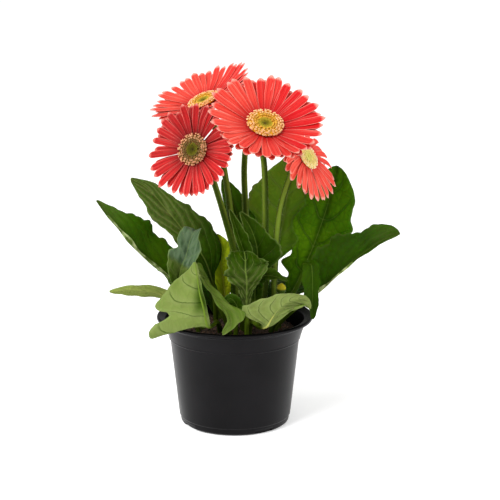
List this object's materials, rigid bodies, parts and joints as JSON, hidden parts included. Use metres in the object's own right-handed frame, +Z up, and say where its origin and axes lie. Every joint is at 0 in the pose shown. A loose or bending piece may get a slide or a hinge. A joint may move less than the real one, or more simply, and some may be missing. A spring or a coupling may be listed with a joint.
{
  "type": "potted gerbera",
  "caption": "Gerbera daisy in a tapered black nursery pot, with coral red blooms on bare stalks over a rosette of lobed leaves.",
  "frame": {"origin": "middle of the pot's flat underside", "axes": "+Z up along the pot's axis, -Y towards the plant's front, +X to the right as seen from the front"},
  "size_m": [0.2491, 0.1926, 0.2937],
  "materials": {
    "pot": "satin black moulded plastic with soft highlights",
    "soil": "loose dark brown peat and bark, matt",
    "leaf": "deep green leaf with paler veins, slightly glossy",
    "leaf_pale": "pale grey-green underside of a leaf with raised veins",
    "leaf_yellowing": "yellow-green ageing leaf",
    "scape": "olive green stalk with fine pale hairs",
    "ray": "coral red, velvety, paler pink at the edges and tip",
    "floret": "cream and yellow-orange florets",
    "eye": "green closed florets"
  },
  "bodies": {
    "root": {"pot": "pot", "soil": "soil", "leaf_left_low": "leaf", "leaf_left_high": "leaf", "leaf_left_blue": "leaf", "leaf_front_left": "leaf_pale", "leaf_front_mid": "leaf", "leaf_front_right": "leaf_pale", "leaf_centre": "leaf", "leaf_mid_folded": "leaf", "leaf_mid_inner": "leaf", "leaf_back_broad": "leaf", "leaf_back_left": "leaf", "leaf_right_high": "leaf", "leaf_right_long": "leaf", "leaf_right_hanging": "leaf", "leaf_left_flat": "leaf_pale", "leaf_yellow": "leaf_yellowing", "leaf_mid_right": "leaf", "leaf_low_mid": "leaf", "leaf_rear_left": "leaf", "leaf_rear": "leaf", "leaf_rear_right": "leaf", "leaf_side_left": "leaf", "leaf_side_right": "leaf", "bloom_front_scape": "scape", "bloom_front_rays": "ray", "bloom_front_florets": "floret", "bloom_front_eye": "eye", "bloom_left_scape": "scape", "bloom_left_rays": "ray", "bloom_left_florets": "floret", "bloom_left_eye": "eye", "bloom_rear_left_scape": "scape", "bloom_rear_left_rays": "ray", "bloom_rear_left_florets": "floret", "bloom_rear_left_eye": "eye", "bloom_right_scape": "scape", "bloom_right_rays": "ray", "bloom_right_florets": "floret", "bloom_right_eye": "eye", "bloom_rear_scape": "scape", "bloom_rear_rays": "ray", "bloom_rear_florets": "floret", "bloom_rear_eye": "eye", "bud_left": "scape", "bud_right": "scape"}
  },
  "joints": []
}
